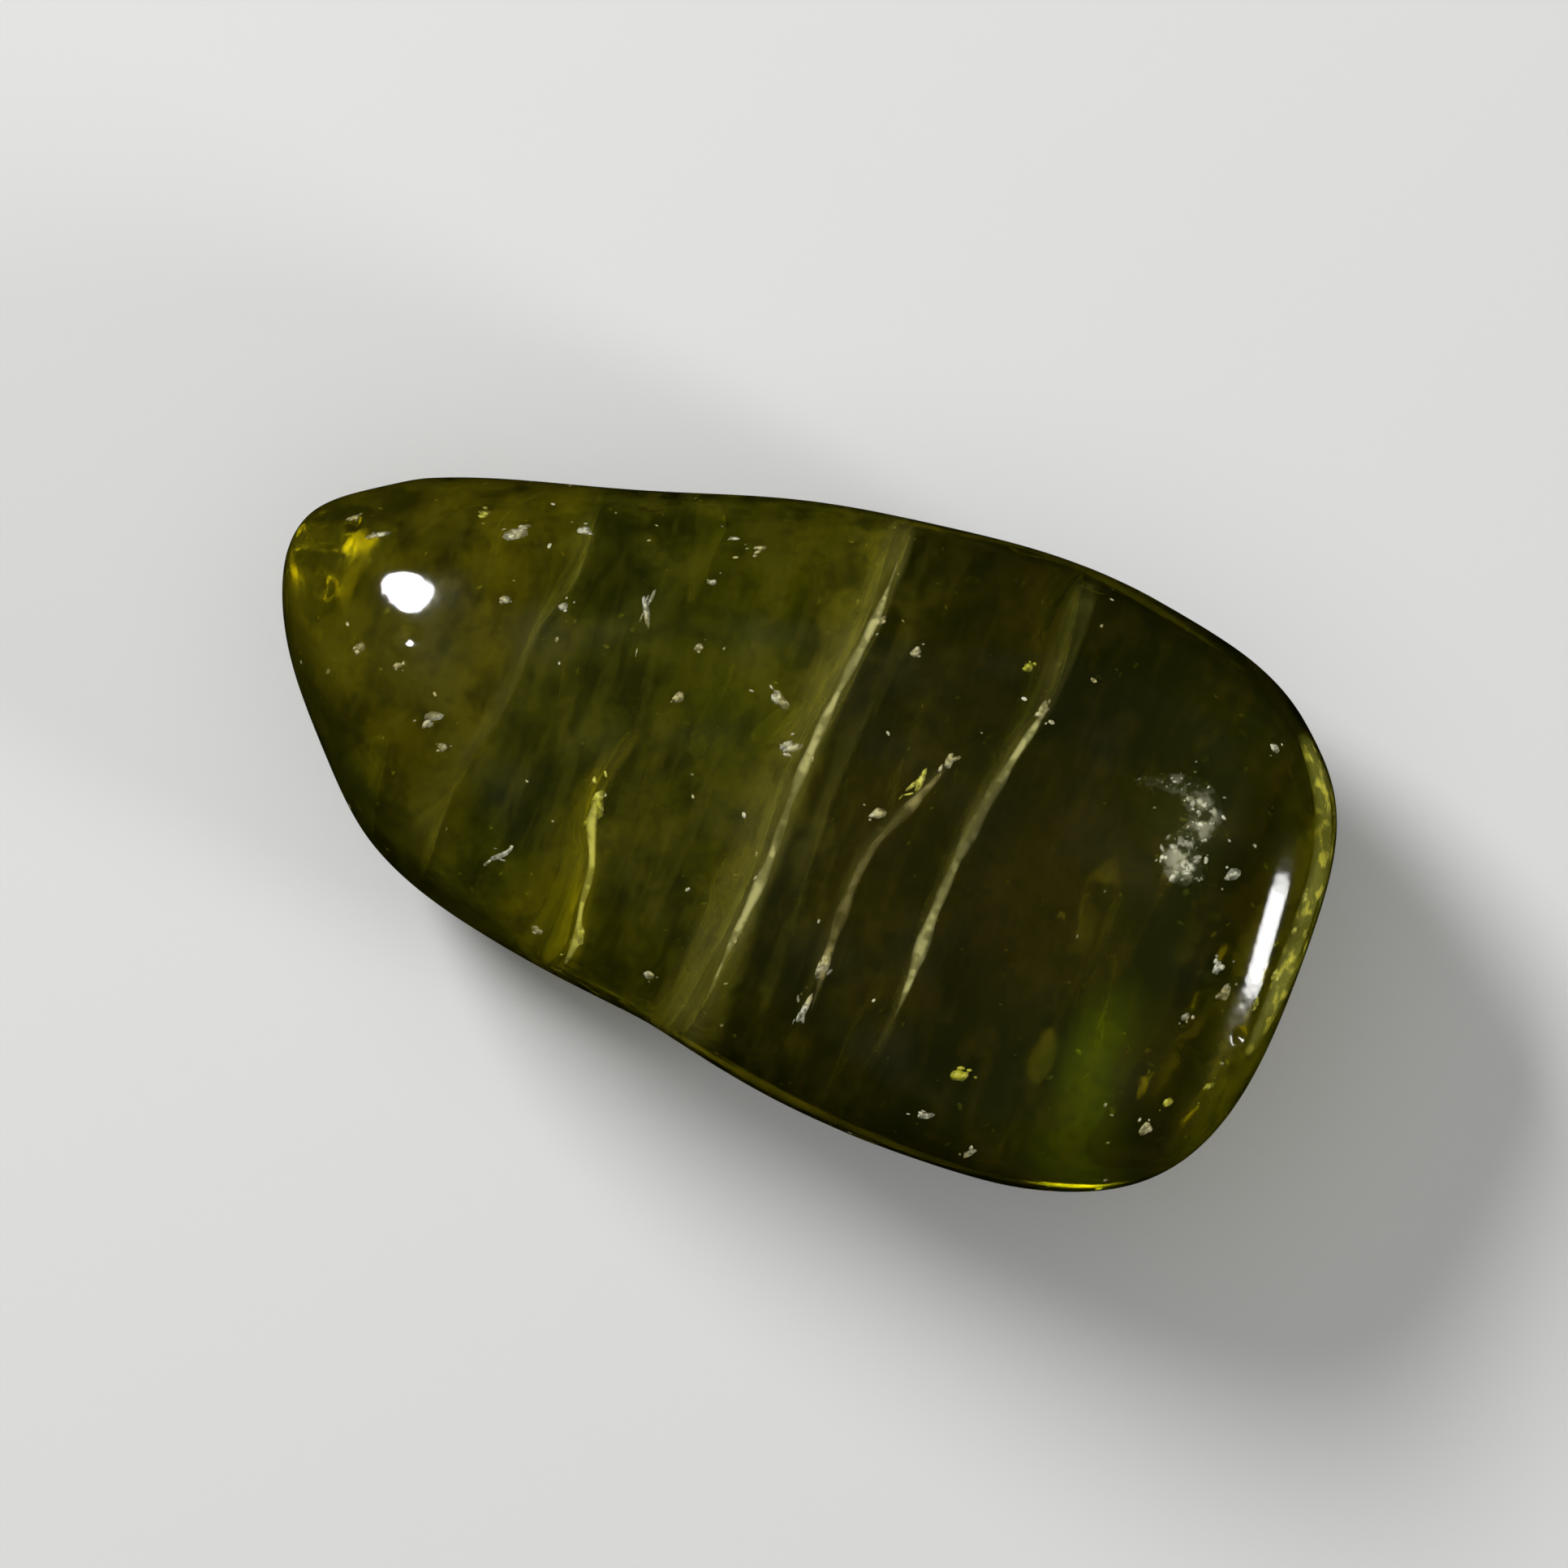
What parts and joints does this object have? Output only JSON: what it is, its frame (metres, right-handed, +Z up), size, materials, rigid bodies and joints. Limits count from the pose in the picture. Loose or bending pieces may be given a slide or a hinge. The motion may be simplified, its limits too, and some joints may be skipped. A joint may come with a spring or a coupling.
{
  "type": "tumbled tourmaline crystal",
  "caption": "Tumbled piece of see-through olive-green tourmaline, a short thick length of one crystal worn to a smooth tapered pebble, with healed cracks across it.",
  "frame": {"origin": "middle of the stone's plan box, on the surface that it rests on", "axes": "+X along the crystal's length from the narrow tip to the blunt end, +Z up out of the broad polished top, +Y across"},
  "size_m": [0.0268, 0.015, 0.0109],
  "materials": {
    "tourmaline": "polished by tumbling, see-through, deep olive green"
  },
  "bodies": {
    "root": {"tourmaline_crystal": "tourmaline"}
  },
  "joints": []
}
